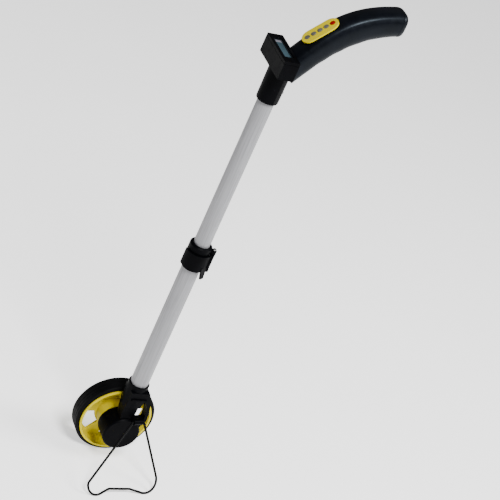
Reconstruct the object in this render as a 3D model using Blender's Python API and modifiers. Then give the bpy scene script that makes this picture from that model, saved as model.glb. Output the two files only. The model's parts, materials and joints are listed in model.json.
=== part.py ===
"""Measuring wheel: a small rolling wheel on a telescopic pole.

The pole frame has its origin at the wheel's centre, +Z up the pole, +X toward
the person who pushes it and -Y toward the side that carries the bracket.  The
pole frame leans a little, so that the object rests on its tyre and on the two
feet of its wire stand.  All lengths are in metres.
"""
import math

import bmesh
import bpy
from mathutils import Euler, Matrix, Vector

MM = 0.001
GAP = 0.3 * MM                       # clearance between pieces that touch
MERGE = 0.00001

# ---- driving dimensions -------------------------------------------------
WHEEL_CIRCUMFERENCE = 0.4
WHEEL_RADIUS = WHEEL_CIRCUMFERENCE / (2 * math.pi)
TYRE_HALF_WIDTH = 13.0 * MM
RIM_RADIUS = 56.0 * MM
WHEEL_OFFSET = 34.0 * MM             # from the pole's axis to the wheel's middle plane
WHEEL_OPENINGS = [(-152, 23, -16), (-80, 20, -16), (-8, 20, -16),   # three windows
                  (45, 18, -6), (114, 24, -6)]     # and two pockets: middle, half, floor
LEAN_TO_STAND = math.radians(1.7)
LEAN_FORWARD = math.radians(1.2)

LOWER_TUBE_RADIUS = 14.0 * MM
UPPER_TUBE_RADIUS = 12.5 * MM
TUBE_WALL = 1.0 * MM
CROWN_TOP = 94.5 * MM                # heights along the pole, above the wheel's centre
CROWN_BLOCK_TOP = 85.0 * MM
CROWN_FLOOR = 62.0 * MM
BOLT_HEIGHT = 78.0 * MM
COLLAR_BOTTOM = 321.0 * MM
COLLAR_TOP = 363.0 * MM
LOWER_TUBE_TOP = 355.0 * MM
UPPER_TUBE_BOTTOM = 300.0 * MM
SLEEVE_BOTTOM = 615.0 * MM
SLEEVE_SCREW_HEIGHT = 630.0 * MM
UPPER_TUBE_TOP = 646.0 * MM
HEAD_BOTTOM = 668.0 * MM
HEAD_TOP = 697.0 * MM

HEAD_HALF_WIDTH = 37.5 * MM          # along the axle
HEAD_FRONT = -20.0 * MM
HEAD_BACK = 4.0 * MM
SHELL_WALL = 2.4 * MM
WINDOW_DEPTH = 13.4 * MM             # of the display's clear window, along X
WINDOW_LENGTH = 50.0 * MM
WINDOW_SHIFT = 2.0 * MM              # along the axle, toward the wheel's side

GRIP_HALF_WIDTH = 19.0 * MM
GRIP_TOP = [(5, 692), (35, 736), (60, 776), (137.5, 787)]        # (x, z) in millimetres
GRIP_BOTTOM = [(18.5, 651), (43, 686), (72, 734), (137.5, 750.5)]
GRIP_SECTIONS = 15
GRIP_SQUARENESS = 0.62               # 1 is an ellipse, smaller is squarer

DRUM_RADIUS = 29.5 * MM
DRUM_FACE = 49.5 * MM                # near face, from the wheel's middle plane
DRUM_BACK = 17.0 * MM
AXLE_RADIUS = 3.8 * MM

STAND_WIRE_RADIUS = 1.9 * MM
STAND_PIVOT = Vector((15.5, -20.3, 32.0)) * MM
STAND_YAW = math.radians(9.0)        # of the hinge, about the pole
STAND_SPLAY = math.radians(34.3)     # of the open legs, from straight down
STAND_HALF_TOP = 11.0 * MM
STAND_FEET = {-1: (67.5 * MM, 15.5 * MM), 1: (18.0 * MM, 20.0 * MM)}   # out, bend radius
STAND_BAR_RISE = 8.5 * MM            # of the wire between the feet

LEVER_PIN_ANGLE = math.radians(-22)
LEVER_PIN_DISTANCE = 21.0 * MM

PAD_CENTRE = Vector((32.7, 0.0, 733.0)) * MM
PAD_ANGLE = math.radians(46.5)       # rise of the pad's long axis toward the grip's end
BUTTON_PITCH = 9.8 * MM
BUTTON_RADIUS = 3.6 * MM
BUTTON_COUNT = 5

COLOURS = {                          # base colour, metallic, roughness
    "tyre_rubber": ((0.012, 0.012, 0.013), 0.0, 0.75),
    "yellow_plastic": ((0.72, 0.56, 0.02), 0.0, 0.35),
    "black_plastic": ((0.010, 0.011, 0.014), 0.0, 0.32),
    "black_wire": ((0.010, 0.010, 0.011), 0.2, 0.40),
    "brushed_aluminium": ((0.42, 0.42, 0.45), 0.9, 0.42),
    "zinc_steel": ((0.55, 0.55, 0.55), 1.0, 0.35),
    "grey_rubber": ((0.16, 0.17, 0.17), 0.0, 0.50),
    "red_rubber": ((0.48, 0.02, 0.01), 0.0, 0.45),
    "circuit_board": ((0.02, 0.16, 0.06), 0.0, 0.50),
    "lcd_glass": ((0.10, 0.17, 0.19), 0.0, 0.25),
    "clear_window": ((0.30, 0.36, 0.38), 0.0, 0.08),
    "magnet_ferrite": ((0.05, 0.05, 0.05), 0.4, 0.60),
    "battery_sleeve": ((0.10, 0.20, 0.42), 0.1, 0.40),
    "bush_acetal": ((0.75, 0.74, 0.70), 0.0, 0.50),
}


# ---- scene helpers ------------------------------------------------------
def clear_scene():
    for obj in list(bpy.data.objects):
        bpy.data.objects.remove(obj, do_unlink=True)


def new_collection(name):
    collection = bpy.data.collections.new(name)
    bpy.context.scene.collection.children.link(collection)
    return collection


def new_empty(name, parent=None, location=(0, 0, 0), rotation=(0, 0, 0)):
    empty = bpy.data.objects.new(name, None)
    PARTS.objects.link(empty)
    empty.parent = parent
    empty.location = location
    empty.rotation_euler = rotation
    empty.empty_display_size = 0.02
    return empty


def material(name):
    found = bpy.data.materials.get(name)
    if found:
        return found
    colour, metallic, roughness = COLOURS[name]
    made = bpy.data.materials.new(name)
    made.use_nodes = True
    shader = made.node_tree.nodes["Principled BSDF"]
    shader.inputs["Base Color"].default_value = (*colour, 1.0)
    shader.inputs["Metallic"].default_value = metallic
    shader.inputs["Roughness"].default_value = roughness
    made.diffuse_color = (*colour, 1.0)
    return made


def add(name, mesh, look=None, parent=None, location=(0, 0, 0), rotation=(0, 0, 0)):
    """Link a mesh as a part, or as a cutter when it has no material."""
    obj = bpy.data.objects.new(name, mesh)
    obj.parent = parent
    obj.location = location
    obj.rotation_euler = rotation
    if look:
        PARTS.objects.link(obj)
        mesh.materials.append(material(look))
        mesh.shade_smooth()
        mesh.set_sharp_from_angle(angle=math.radians(35))
    else:
        CUTTERS.objects.link(obj)
        obj.hide_render = True
        obj.display_type = "WIRE"
    return obj


def mesh_from(bm, name):
    mesh = bpy.data.meshes.new(name)
    bm.to_mesh(mesh)
    bm.free()
    return mesh


def box_mesh(name, size, centre=(0, 0, 0), taper=None):
    """A box; taper(co) may move each corner after the box has its size."""
    bm = bmesh.new()
    bmesh.ops.create_cube(bm, size=1.0)
    for vert in bm.verts:
        vert.co = Vector(vert.co[i] * size[i] + centre[i] for i in range(3))
        if taper:
            vert.co = taper(vert.co)
    return mesh_from(bm, name)


def cylinder_mesh(name, radius, low, high, segments=32, top_radius=None):
    """A cylinder or cone along local Z between two heights."""
    bm = bmesh.new()
    bmesh.ops.create_cone(
        bm, cap_ends=True, segments=segments, radius1=radius,
        radius2=radius if top_radius is None else top_radius, depth=high - low,
        matrix=Matrix.Translation((0, 0, (low + high) / 2)))
    return mesh_from(bm, name)


def turned(name, profile, look=None, parent=None, steps=48, location=(0, 0, 0),
           rotation=(0, 0, 0)):
    """Turn a closed (radius, height) profile in millimetres about local Z."""
    bm = bmesh.new()
    verts = [bm.verts.new((radius * MM, 0, height * MM)) for radius, height in profile]
    for first, second in zip(verts, verts[1:] + verts[:1]):
        if first.co.x > 0 or second.co.x > 0:
            bm.edges.new((first, second))
    obj = add(name, mesh_from(bm, name), look, parent, location, rotation)
    screw = obj.modifiers.new("turn", "SCREW")
    screw.axis = "Z"
    screw.steps = steps
    screw.render_steps = steps
    screw.use_merge_vertices = True
    screw.merge_threshold = MERGE
    screw.use_smooth_shade = True
    return obj


def ring(name, outer, inner, low, high, look, parent, steps=40, **place):
    """A plain ring, sizes in millimetres."""
    profile = [(outer, high), (outer, low), (inner, low), (inner, high)]
    return turned(name, profile, look, parent, steps, **place)


def boolean(target, cutter, operation="DIFFERENCE"):
    modifier = target.modifiers.new(cutter.name, "BOOLEAN")
    modifier.operation = operation
    modifier.solver = "EXACT"
    modifier.object = cutter
    return modifier


def bevel(target, width, segments=2, angle=40):
    modifier = target.modifiers.new("rounded_edges", "BEVEL")
    modifier.width = width
    modifier.segments = segments
    modifier.limit_method = "ANGLE"
    modifier.angle_limit = math.radians(angle)
    modifier.use_clamp_overlap = True
    return modifier


def curve_mesh(name, curve):
    """The closed mesh of a curve object, which is then removed."""
    holder = bpy.data.objects.new(name + "_curve", curve)
    CUTTERS.objects.link(holder)
    bpy.context.view_layer.update()
    graph = bpy.context.evaluated_depsgraph_get()
    mesh = bpy.data.meshes.new_from_object(holder.evaluated_get(graph))
    bpy.data.objects.remove(holder, do_unlink=True)
    mesh.materials.clear()
    bm = bmesh.new()
    bm.from_mesh(mesh)
    bmesh.ops.remove_doubles(bm, verts=bm.verts, dist=MERGE)
    bmesh.ops.dissolve_limit(bm, angle_limit=math.radians(1), verts=bm.verts, edges=bm.edges)
    bmesh.ops.recalc_face_normals(bm, faces=bm.faces)
    bm.to_mesh(mesh)
    bm.free()
    return mesh


def outline_mesh(name, points, thickness):
    """A flat outline in local XY, extruded both ways from Z = 0."""
    curve = bpy.data.curves.new(name, "CURVE")
    curve.dimensions = "2D"
    curve.fill_mode = "BOTH"
    curve.extrude = thickness / 2
    spline = curve.splines.new("POLY")
    spline.points.add(len(points) - 1)
    for slot, (x, y) in zip(spline.points, points):
        slot.co = (x, y, 0, 1)
    spline.use_cyclic_u = True
    return curve_mesh(name, curve)


def wire_mesh(name, points, radius):
    """A round wire through points, with filled ends."""
    curve = bpy.data.curves.new(name, "CURVE")
    curve.dimensions = "3D"
    curve.bevel_depth = radius
    curve.bevel_resolution = 2
    curve.use_fill_caps = True
    spline = curve.splines.new("POLY")
    spline.points.add(len(points) - 1)
    for slot, point in zip(spline.points, points):
        slot.co = (*point, 1)
    return curve_mesh(name, curve)


def arc(centre, radius, start, end, count):
    """Points on an arc in a plane, angles in degrees, both ends included."""
    angles = [math.radians(start + (end - start) * i / (count - 1)) for i in range(count)]
    return [(centre[0] + radius * math.cos(a), centre[1] + radius * math.sin(a))
            for a in angles]


def stadium(half_length, half_width, count=9):
    """The outline of a bar with round ends, along local X."""
    straight = half_length - half_width
    return (arc((straight, 0), half_width, -90, 90, count)
            + arc((-straight, 0), half_width, 90, 270, count))


def bezier(points, t):
    """A point on a cubic Bezier curve."""
    weights = ((1 - t) ** 3, 3 * t * (1 - t) ** 2, 3 * t * t * (1 - t), t ** 3)
    return sum((Vector(p) * w for p, w in zip(points, weights)), Vector((0, 0)))


def screw(name, parent, location, rotation, head_radius, shank_radius, length):
    """A pan-head screw: its head's underside at the location, shank along -Z."""
    return turned(name, [(0, 2.0), (head_radius * 0.7, 2.0), (head_radius, 1.2),
                         (head_radius, 0), (shank_radius, 0), (shank_radius, -length),
                         (0, -length)],
                  "zinc_steel", parent, 16, location, rotation)


# ---- wheel --------------------------------------------------------------
def build_tyre(axis):
    edge = TYRE_HALF_WIDTH / MM
    tread = WHEEL_RADIUS / MM
    shoulder = arc((tread - 3, edge - 3), 3, 90, 0, 4)
    mirrored = [(r, -h) for r, h in reversed(shoulder)]
    bore = RIM_RADIUS / MM + 0.3
    turned("tyre", shoulder + mirrored + [(bore, -edge), (bore, edge)],
           "tyre_rubber", axis, 64)


def build_wheel(axis):
    rim = RIM_RADIUS / MM
    wheel = turned("wheel", [
        (rim - 1.8, 16.2), (rim + 1.6, 15.7), (rim + 1.6, 13.3), (rim, 13.3), (rim, -13.3),
        (rim + 1.2, -13.3), (rim + 1.2, -14.8), (53, -14.8), (53, -8), (12, -8),
        (12, -11), (8.15, -11), (8.15, 12), (11.5, 12), (11.5, -4.5), (23.5, -4.5),
        (23.5, 14), (26.5, 14), (26.5, -4.5), (52.6, -4.5)], "yellow_plastic", axis, 60)
    for index, (middle, half_angle, floor) in enumerate(WHEEL_OPENINGS):
        outline = (arc((0, 0), 51 * MM, -half_angle, half_angle, 7)
                   + arc((0, 0), 29 * MM, half_angle, -half_angle, 5))
        cutter = add(f"window_cutter_{index + 1}",
                     outline_mesh("window", outline, 20 * MM), None, axis,
                     (0, 0, floor * MM + 10 * MM), (0, 0, math.radians(middle)))
        boolean(wheel, cutter)


def build_hub(axis, fixed_axis):
    for name, low in (("wheel_bearing_near", 6.7), ("wheel_bearing_far", -10.7)):
        ring(name, 7.85, 4.1, low, low + 5, "zinc_steel", axis, 32)
    ring("encoder_ring", 23.2, 18.5, 6, 11, "magnet_ferrite", axis, 40)
    turned("hub_cap", [(14, -8.3), (14, -19.5), (12.5, -22), (0, -22), (0, -20),
                       (11, -20), (12.3, -18.5), (12.3, -8.3)], "black_plastic", axis, 40)
    shaft = AXLE_RADIUS / MM
    face = DRUM_FACE / MM
    turned("axle", [(0, face - 4), (shaft, face - 4), (shaft, 16.7), (7, 16.7), (7, 12.5),
                    (shaft, 12.5), (shaft, -19), (0, -19)],
           "zinc_steel", fixed_axis, 24)
    ring("axle_washer", 7.6, 4.1, -12.4, -11.3, "zinc_steel", fixed_axis, 24)
    ring("axle_nut", 6.5, 4.7, -17.4, -12.7, "zinc_steel", fixed_axis, 6)


# ---- bracket ------------------------------------------------------------
def build_bracket(pole, fixed_axis):
    face = DRUM_FACE / MM
    back = DRUM_BACK / MM + 2.5
    radius = DRUM_RADIUS / MM
    bracket = turned("bracket", [
        (0, face), (radius - 2, face), (radius, face - 2), (radius, back),
        (radius - 2.5, back), (radius - 2.5, face - 2.5), (10, face - 2.5), (10, 17.2),
        (4.1, 17.2), (4.1, face - 3.5), (0, face - 3.5)], "black_plastic", fixed_axis, 56)

    def arm_taper(co):
        if co.z > 40 * MM:
            return co
        near = co.y < 0
        return Vector((co.x * 0.8, (-11.5 if near else 3.0) * MM, co.z))

    def block_taper(co):
        if co.z > 70 * MM:
            return co
        return Vector((min(co.x, 11 * MM), co.y * 0.9, co.z))

    arm = add("arm_former", box_mesh("arm", (24 * MM, 25 * MM, 56 * MM),
                                     (-1.5 * MM, 0, 36 * MM), arm_taper), None, pole)
    block = add("block_former", box_mesh(
        "block", (31 * MM, 30 * MM, CROWN_BLOCK_TOP - 55 * MM),
        (2 * MM, -2 * MM, (CROWN_BLOCK_TOP + 55 * MM) / 2), block_taper), None, pole)
    ridge = add("ridge_former", box_mesh(
        "ridge", (25 * MM, 3 * MM, 3.2 * MM), (3.5 * MM, -16.8 * MM, 71.5 * MM)), None, pole)
    crown = add("crown_former", cylinder_mesh("crown", 16.5 * MM, 54 * MM, CROWN_TOP, 40),
                None, pole)
    rib_outer = [(10, 84), (17.2, 84), (25, 71), (31, 56), (35, 38), (35.5, 24), (26, 6)]
    rib_inner = [(22, 10), (30.5, 25), (29.5, 38), (25, 54), (18, 66), (10, 70)]
    rib = add("rib_former", outline_mesh(
        "rib", [(x * MM, z * MM) for x, z in rib_outer + rib_inner], 15 * MM),
        None, pole, (0, 0, 0), (math.radians(90), 0, 0))
    along_hinge = (0, math.radians(90), STAND_YAW)
    barrel = add("hinge_former", cylinder_mesh("barrel", 4.5 * MM, -8 * MM, 8 * MM, 20),
                 None, pole, STAND_PIVOT, along_hinge)
    hinge_block = add("hinge_block_former", box_mesh(
        "hinge_block", (15.6 * MM, 12 * MM, 8 * MM), (0, 5.9 * MM, 0)),
        None, pole, STAND_PIVOT, (0, 0, STAND_YAW))
    for former in (arm, block, ridge, crown, rib, barrel, hinge_block):
        boolean(bracket, former, "UNION")
    socket = add("socket_cutter", cylinder_mesh(
        "socket", LOWER_TUBE_RADIUS + GAP, CROWN_FLOOR, CROWN_TOP + 5 * MM, 40), None, pole)
    hollow = add("arm_hollow_cutter", box_mesh(
        "hollow", (16 * MM, 9 * MM, 20 * MM), (-1.5 * MM, 9.5 * MM, 45 * MM)), None, pole)
    pivot = add("pivot_cutter", cylinder_mesh(
        "pivot", STAND_WIRE_RADIUS + GAP, -20 * MM, 20 * MM, 16), None, pole,
        STAND_PIVOT, along_hinge)
    bolt_way = add("bolt_cutter", cylinder_mesh(
        "bolt_way", 2.3 * MM, 0, 30 * MM, 16), None, pole,
        (0, 0, BOLT_HEIGHT), (0, math.radians(90), 0))
    bolt_seat = add("bolt_seat_cutter", cylinder_mesh(
        "bolt_seat", 4.8 * MM, 16.6 * MM, 30 * MM, 24), None, pole,
        (0, 0, BOLT_HEIGHT), (0, math.radians(90), 0))
    for cutter in (socket, hollow, pivot, bolt_way, bolt_seat):
        boolean(bracket, cutter)


def build_sensor(fixed_axis):
    ring("sensor_cover", DRUM_RADIUS / MM - 0.1, 10.5, 17, 19.2, "black_plastic",
         fixed_axis, 56)
    board = add("sensor_board", box_mesh("sensor_board", (20 * MM, 13 * MM, 1.6 * MM)),
                "circuit_board", fixed_axis, (0, -17.5 * MM, 25 * MM))
    bevel(board, 0.6 * MM, 1)
    add("sensor_chip", box_mesh("sensor_chip", (7 * MM, 6 * MM, 3.0 * MM)),
        "black_plastic", fixed_axis, (0, -20.5 * MM, 22.3 * MM))


def build_bracket_bolt(pole):
    """A screw through the crown's back wall into the tube."""
    screw("bracket_bolt", pole, (16.9 * MM, 0, BOLT_HEIGHT), (0, math.radians(90), 0),
          4.2, 2.0, 9)


def ground_normal():
    """World up, in the pole frame."""
    turn = Euler((LEAN_TO_STAND, -LEAN_FORWARD, 0)).to_matrix()
    return turn.inverted() @ Vector((0, 0, 1))


def ground_height():
    """How far below the wheel's centre the floor lies, along world up."""
    up = ground_normal()
    in_plane = math.sqrt(up.x ** 2 + up.z ** 2)
    flat = TYRE_HALF_WIDTH - 3 * MM
    centre = up.y * WHEEL_OFFSET
    tread = WHEEL_RADIUS * in_plane + flat * abs(up.y)
    corner = (WHEEL_RADIUS - 3 * MM) * in_plane + flat * abs(up.y) + 3 * MM
    return max(tread, corner) - centre


def stand_down():
    """Direction of the open legs, in the hinge's own frame."""
    return Vector((0, -math.sin(STAND_SPLAY), -math.cos(STAND_SPLAY)))


def foot_reach(x):
    """Distance down the leg plane at which the wire's centre is one radius up."""
    turn = Matrix.Rotation(STAND_YAW, 3, "Z")
    start = STAND_PIVOT + turn @ Vector((x, 0, 0))
    up = ground_normal()
    height = start.dot(up) + ground_height() - STAND_WIRE_RADIUS
    return height / -(turn @ stand_down()).dot(up)


def build_stand(pivot):
    """A loop of wire whose two ends sit in the bracket's hinge barrel."""
    def half(side):
        out, bend = STAND_FEET[side]
        reach = foot_reach(side * out)
        foot = arc((out, reach - bend), bend, -14, 118, 10)
        inner = out - 1.25 * bend
        return ([(side * (STAND_HALF_TOP - 4 * MM), 0),
                 (side * (STAND_HALF_TOP - 1.5 * MM), 0.5 * MM),
                 (side * STAND_HALF_TOP, 2.5 * MM)]
                + [(side * x, along) for x, along in foot]
                + [(side * (inner + 2 * MM), reach - STAND_BAR_RISE + 1.8 * MM),
                   (side * (inner - 2 * MM), reach - STAND_BAR_RISE + 0.3 * MM)])

    route = half(-1) + half(1)[::-1]
    points = [Vector((x, 0, 0)) + stand_down() * along for x, along in route]
    add("wire_stand", wire_mesh("wire_stand", points, STAND_WIRE_RADIUS), "black_wire", pivot)


# ---- tubes and clamp ----------------------------------------------------
def build_tubes(pole, slide):
    lower = LOWER_TUBE_RADIUS / MM
    upper = UPPER_TUBE_RADIUS / MM
    wall = TUBE_WALL / MM
    lower_tube = ring("lower_tube", lower, lower - wall, CROWN_FLOOR / MM + 0.3,
                      LOWER_TUBE_TOP / MM, "brushed_aluminium", pole, 40)
    bolt_way = add("tube_bolt_cutter", cylinder_mesh(
        "bolt_way", 2.3 * MM, 0, 30 * MM, 16), None, pole,
        (0, 0, BOLT_HEIGHT), (0, math.radians(90), 0))
    boolean(lower_tube, bolt_way)
    ring("upper_tube", upper, upper - wall, UPPER_TUBE_BOTTOM / MM, UPPER_TUBE_TOP / MM,
         "brushed_aluminium", slide, 40)
    bottom = UPPER_TUBE_BOTTOM / MM
    turned("guide_bush", [(12.7, bottom - 0.3), (12.7, bottom - 8), (8, bottom - 8),
                          (8, bottom + 12), (11.2, bottom + 12), (11.2, bottom - 0.3)],
           "bush_acetal", slide, 40)


def lever_pin_place():
    return Vector((LEVER_PIN_DISTANCE * math.cos(LEVER_PIN_ANGLE),
                   LEVER_PIN_DISTANCE * math.sin(LEVER_PIN_ANGLE), 0))


def build_clamp(pole, lever_axis):
    low = COLLAR_BOTTOM / MM
    high = COLLAR_TOP / MM
    step = LOWER_TUBE_TOP / MM + 0.3
    collar = turned("clamp_collar", [
        (15.5, high), (17.2, high - 2), (17.2, low + 1), (16.4, low), (14.3, low),
        (14.3, step), (12.8, step), (12.8, high)], "black_plastic", pole, 48)
    pin = lever_pin_place()
    for name, bottom, top in (("ear_high", 352, 358.7), ("ear_low", 321.6, 325)):
        ear = add(f"{name}_former", box_mesh(
            name, (5.6 * MM, 7.6 * MM, (top - bottom) * MM), (4.6 * MM, 0, 0)), None, pole,
            (13.6 * MM * math.cos(LEVER_PIN_ANGLE), 13.6 * MM * math.sin(LEVER_PIN_ANGLE),
             (bottom + top) / 2 * MM), (0, 0, LEVER_PIN_ANGLE))
        knuckle = add(f"{name}_knuckle_former", cylinder_mesh(
            name, 4.0 * MM, bottom * MM, top * MM, 20), None, pole, pin)
        boolean(collar, ear, "UNION")
        boolean(collar, knuckle, "UNION")
    pin_way = add("pin_cutter", cylinder_mesh(
        "pin_way", 1.8 * MM, 300 * MM, 380 * MM, 16), None, pole, pin)
    slot = add("collar_slot_cutter", box_mesh(
        "slot", (12 * MM, 1.4 * MM, 60 * MM), (17.5 * MM, 0, 350 * MM)), None, pole,
        (0, 0, 0), (0, 0, LEVER_PIN_ANGLE + math.radians(34)))
    for cutter in (pin_way, slot):
        boolean(collar, cutter)
    turned("lever_pin", [(0, 361), (2.6, 361), (2.6, 359.4), (1.5, 359.4), (1.5, 320.5),
                         (0, 320.5)], "zinc_steel", pole, 16, pin)

    inner = 17.8 * MM
    outer = 20.4 * MM
    pin_degrees = math.degrees(LEVER_PIN_ANGLE)
    start = pin_degrees - 12
    wrap = (arc((0, 0), outer, start, start - 150, 22)
            + arc((0, 0), inner, start - 150, start, 22))
    lever = add("clamp_lever", outline_mesh("clamp_lever", wrap, 26 * MM),
                "black_plastic", lever_axis, -pin + Vector((0, 0, 338.5 * MM)))
    eye = add("lever_eye_former", cylinder_mesh("lever_eye", 3.6 * MM, 325.4 * MM, 351.6 * MM,
                                                20), None, lever_axis)
    web = add("lever_web_former", box_mesh(
        "lever_web", (5 * MM, 6 * MM, 26 * MM), (0, -3.4 * MM, 338.5 * MM)), None, lever_axis,
        (0, 0, 0), (0, 0, LEVER_PIN_ANGLE))

    def tab_flare(co):
        if co.z < 320 * MM:
            return Vector((co.x * 0.55, co.y - 3.0 * MM, co.z))
        return co

    tab = add("lever_tab_former", box_mesh(
        "lever_tab", (13 * MM, 2.6 * MM, 18 * MM), (0, -19.1 * MM, 322.5 * MM), tab_flare),
        None, lever_axis, -pin, (0, 0, math.radians(32)))
    for former in (eye, web, tab):
        boolean(lever, former, "UNION")
    clear = add("lever_collar_cutter", cylinder_mesh(
        "lever_clear", 17.6 * MM, 300 * MM, 380 * MM, 48), None, lever_axis, -pin)
    hole = add("lever_hole_cutter", cylinder_mesh(
        "lever_hole", 1.8 * MM, 300 * MM, 380 * MM, 16), None, lever_axis)
    boolean(lever, clear)
    boolean(lever, hole)


# ---- display head -------------------------------------------------------
def build_head(slide):
    depth = HEAD_BACK - HEAD_FRONT
    middle = (HEAD_BACK + HEAD_FRONT) / 2
    rim = HEAD_TOP - 5 * MM
    head = add("head_housing", box_mesh(
        "head_housing", (depth, 2 * HEAD_HALF_WIDTH, rim - HEAD_BOTTOM),
        (middle, 0, (rim + HEAD_BOTTOM) / 2)), "black_plastic", slide)
    sleeve = add("sleeve_former", cylinder_mesh(
        "sleeve", 16.2 * MM, SLEEVE_BOTTOM, HEAD_BOTTOM + 3 * MM, 16, 16.7 * MM), None, slide,
        (0.2 * MM, 0, 0), (0, 0, math.radians(11.25)))
    neck = add("neck_former", box_mesh(
        "neck", (18 * MM, 26 * MM, 46 * MM), (-4.5 * MM, 0, 666 * MM),
        lambda co: co if co.z > 660 * MM else Vector((co.x * 0.4, co.y * 0.7, co.z))),
        None, slide)
    boolean(head, sleeve, "UNION")
    boolean(head, neck, "UNION")
    cavity = add("head_cavity_cutter", box_mesh(
        "cavity", (depth - 2 * SHELL_WALL, 2 * (HEAD_HALF_WIDTH - SHELL_WALL), 40 * MM),
        (middle, 0, HEAD_BOTTOM + SHELL_WALL + 20 * MM)), None, slide)
    bore = add("sleeve_bore_cutter", cylinder_mesh(
        "sleeve_bore", UPPER_TUBE_RADIUS + GAP, SLEEVE_BOTTOM - 5 * MM,
        UPPER_TUBE_TOP + GAP, 40), None, slide)
    wire_way = add("wire_way_cutter", cylinder_mesh(
        "wire_way", 4 * MM, 640 * MM, 690 * MM, 16), None, slide, (-4 * MM, 0, 0))
    screw_way = add("sleeve_screw_cutter", cylinder_mesh(
        "sleeve_screw_way", 2.0 * MM, 0, 30 * MM, 16), None, slide,
        (8 * MM, 0, SLEEVE_SCREW_HEIGHT), (0, math.radians(90), 0))
    for cutter in (cavity, bore, wire_way, screw_way):
        boolean(head, cutter)
    screw("sleeve_screw", slide, (16.9 * MM, 0, SLEEVE_SCREW_HEIGHT),
          (0, math.radians(90), 0), 3.4, 1.6, 3.4)

    bezel = add("display_bezel", box_mesh(
        "display_bezel", (depth, 2 * HEAD_HALF_WIDTH, 5 * MM - GAP),
        (middle, 0, rim + GAP + (5 * MM - GAP) / 2)), "black_plastic", slide)
    opening = add("bezel_cutter", box_mesh(
        "bezel_opening", (WINDOW_DEPTH + 2 * GAP, WINDOW_LENGTH + 2 * GAP, 12 * MM),
        (middle, WINDOW_SHIFT, rim + 8.2 * MM)), None, slide)
    through = add("bezel_through_cutter", box_mesh(
        "bezel_through", (WINDOW_DEPTH - 2 * MM, WINDOW_LENGTH - 2 * MM, 30 * MM),
        (middle, WINDOW_SHIFT, rim)), None, slide)
    boolean(bezel, opening)
    boolean(bezel, through)
    window_low = rim + 2.5 * MM
    add("display_window", box_mesh(
        "display_window", (WINDOW_DEPTH, WINDOW_LENGTH, 1.4 * MM),
        (middle, WINDOW_SHIFT, window_low + 0.7 * MM)), "clear_window", slide)
    add("lcd_panel", box_mesh(
        "lcd_panel", (WINDOW_DEPTH - 2.6 * MM, WINDOW_LENGTH - 2.6 * MM, 2.0 * MM),
        (middle, WINDOW_SHIFT, window_low - GAP - 1.0 * MM)), "lcd_glass", slide)
    add("main_board", box_mesh("main_board", (17.6 * MM, 66 * MM, 1.6 * MM),
                               (middle, 0, rim - 4 * MM)), "circuit_board", slide)


# ---- grip ---------------------------------------------------------------
def grip_section(t):
    """Middle and half height vector of the grip's section, in the XZ plane."""
    top = bezier(GRIP_TOP, t) * MM
    bottom = bezier(GRIP_BOTTOM, t) * MM
    return (top + bottom) / 2, (top - bottom) / 2


def squared(value):
    """Push a sine or cosine outward, for a section between an ellipse and a box."""
    return math.copysign(abs(value) ** GRIP_SQUARENESS, value)


def grip_half(name, side, slide):
    """One moulded half: a shell round the grip's line, open at the middle plane."""
    bm = bmesh.new()
    rows = []
    for index in range(GRIP_SECTIONS):
        middle, half = grip_section(index / (GRIP_SECTIONS - 1))
        row = []
        for step in range(10):
            angle = math.radians(90 - 20 * step)
            out = squared(math.cos(angle)) * GRIP_HALF_WIDTH
            rise = squared(math.sin(angle))
            place = middle + half * rise
            row.append(bm.verts.new((place.x, side * (out + 1.2 * GAP), place.y)))
        rows.append(row)
    for first, second in zip(rows, rows[1:]):
        for a, b, c, d in zip(first, first[1:], second[1:], second):
            bm.faces.new((a, b, c, d) if side < 0 else (d, c, b, a))
    shell = add(name, mesh_from(bm, name), "black_plastic", slide)
    wall = shell.modifiers.new("wall", "SOLIDIFY")
    wall.thickness = SHELL_WALL
    wall.offset = -1
    wall.use_even_offset = True
    return shell


def pad_outline(extra):
    return stadium(28 * MM + extra, 12 * MM + extra)


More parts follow.
